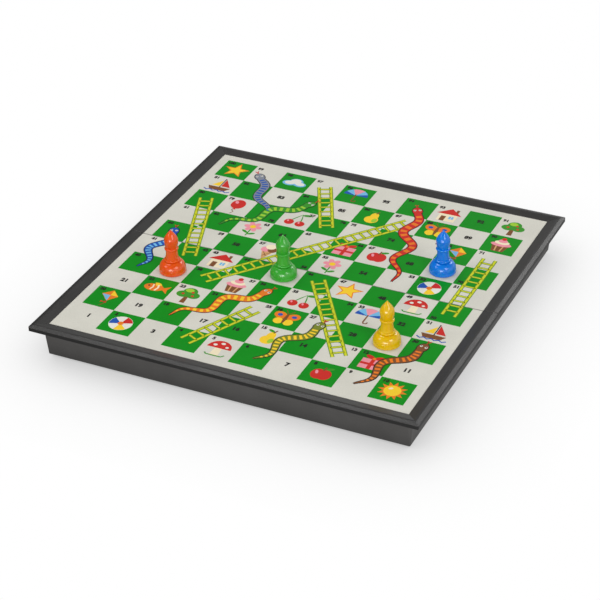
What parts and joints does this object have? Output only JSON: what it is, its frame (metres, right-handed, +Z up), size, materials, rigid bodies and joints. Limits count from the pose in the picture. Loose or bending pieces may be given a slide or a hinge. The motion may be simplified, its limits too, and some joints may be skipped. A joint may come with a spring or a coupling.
{
  "type": "folding game board",
  "caption": "Square folding board of two hinged trays with a raised rim, magnetic pawns on its checkered top and a loose die; folds in half into a flat case with the playing surface outside.",
  "frame": {"origin": "middle of the open board in plan, on the surface that it stands on", "axes": "+Z up, +X along the fold to the right, +Y from the front half to the back half"},
  "size_m": [0.25, 0.25, 0.0521],
  "materials": {
    "case_plastic": "fine moulded texture",
    "tinplate": "bare tinplate",
    "print": "printed and laminated",
    "pin_steel": "drawn wire",
    "red_plastic": "gloss, slightly clear",
    "green_plastic": "gloss, slightly clear",
    "blue_plastic": "gloss, slightly clear",
    "yellow_plastic": "gloss, slightly clear",
    "red_cap": "moulded",
    "green_cap": "moulded",
    "blue_cap": "moulded",
    "yellow_cap": "moulded",
    "magnet": "pressed ferrite",
    "die_plastic": "polished, pips painted dark"
  },
  "bodies": {
    "front_half": {"front_case": "case_plastic", "front_steel_sheet": "tinplate", "front_print_sheet": "print", "left_hinge_pin": "pin_steel"},
    "back_half": {"back_case": "case_plastic", "back_steel_sheet": "tinplate", "back_print_sheet": "print", "right_hinge_pin": "pin_steel"},
    "red_pawn": {"red_pawn": "red_plastic", "red_pawn_magnet": "magnet", "red_pawn_cap": "red_cap"},
    "green_pawn": {"green_pawn": "green_plastic", "green_pawn_magnet": "magnet", "green_pawn_cap": "green_cap"},
    "blue_pawn": {"blue_pawn": "blue_plastic", "blue_pawn_magnet": "magnet", "blue_pawn_cap": "blue_cap"},
    "yellow_pawn": {"yellow_pawn": "yellow_plastic", "yellow_pawn_magnet": "magnet", "yellow_pawn_cap": "yellow_cap"},
    "die": {"die": "die_plastic"}
  },
  "joints": [
    {"name": "fold", "type": "hinge", "parent": "front_half", "child": "back_half", "pos_m": [0, 0, 0.0022], "axis": [-1, 0, 0], "range_deg": [0, 180]},
    {"name": "red_pawn_lift", "type": "slide", "parent": "front_half", "child": "red_pawn", "axis": [0, 0, 1], "range_m": [0, 0.05]},
    {"name": "green_pawn_lift", "type": "slide", "parent": "front_half", "child": "green_pawn", "axis": [0, 0, 1], "range_m": [0, 0.05]},
    {"name": "yellow_pawn_lift", "type": "slide", "parent": "front_half", "child": "yellow_pawn", "axis": [0, 0, 1], "range_m": [0, 0.05]},
    {"name": "blue_pawn_lift", "type": "slide", "parent": "back_half", "child": "blue_pawn", "axis": [0, 0, 1], "range_m": [0, 0.05]},
    {"name": "die_slide", "type": "slide", "parent": "front_half", "child": "die", "axis": [0, 1, 0], "range_m": [-0.03, 0.03]}
  ]
}
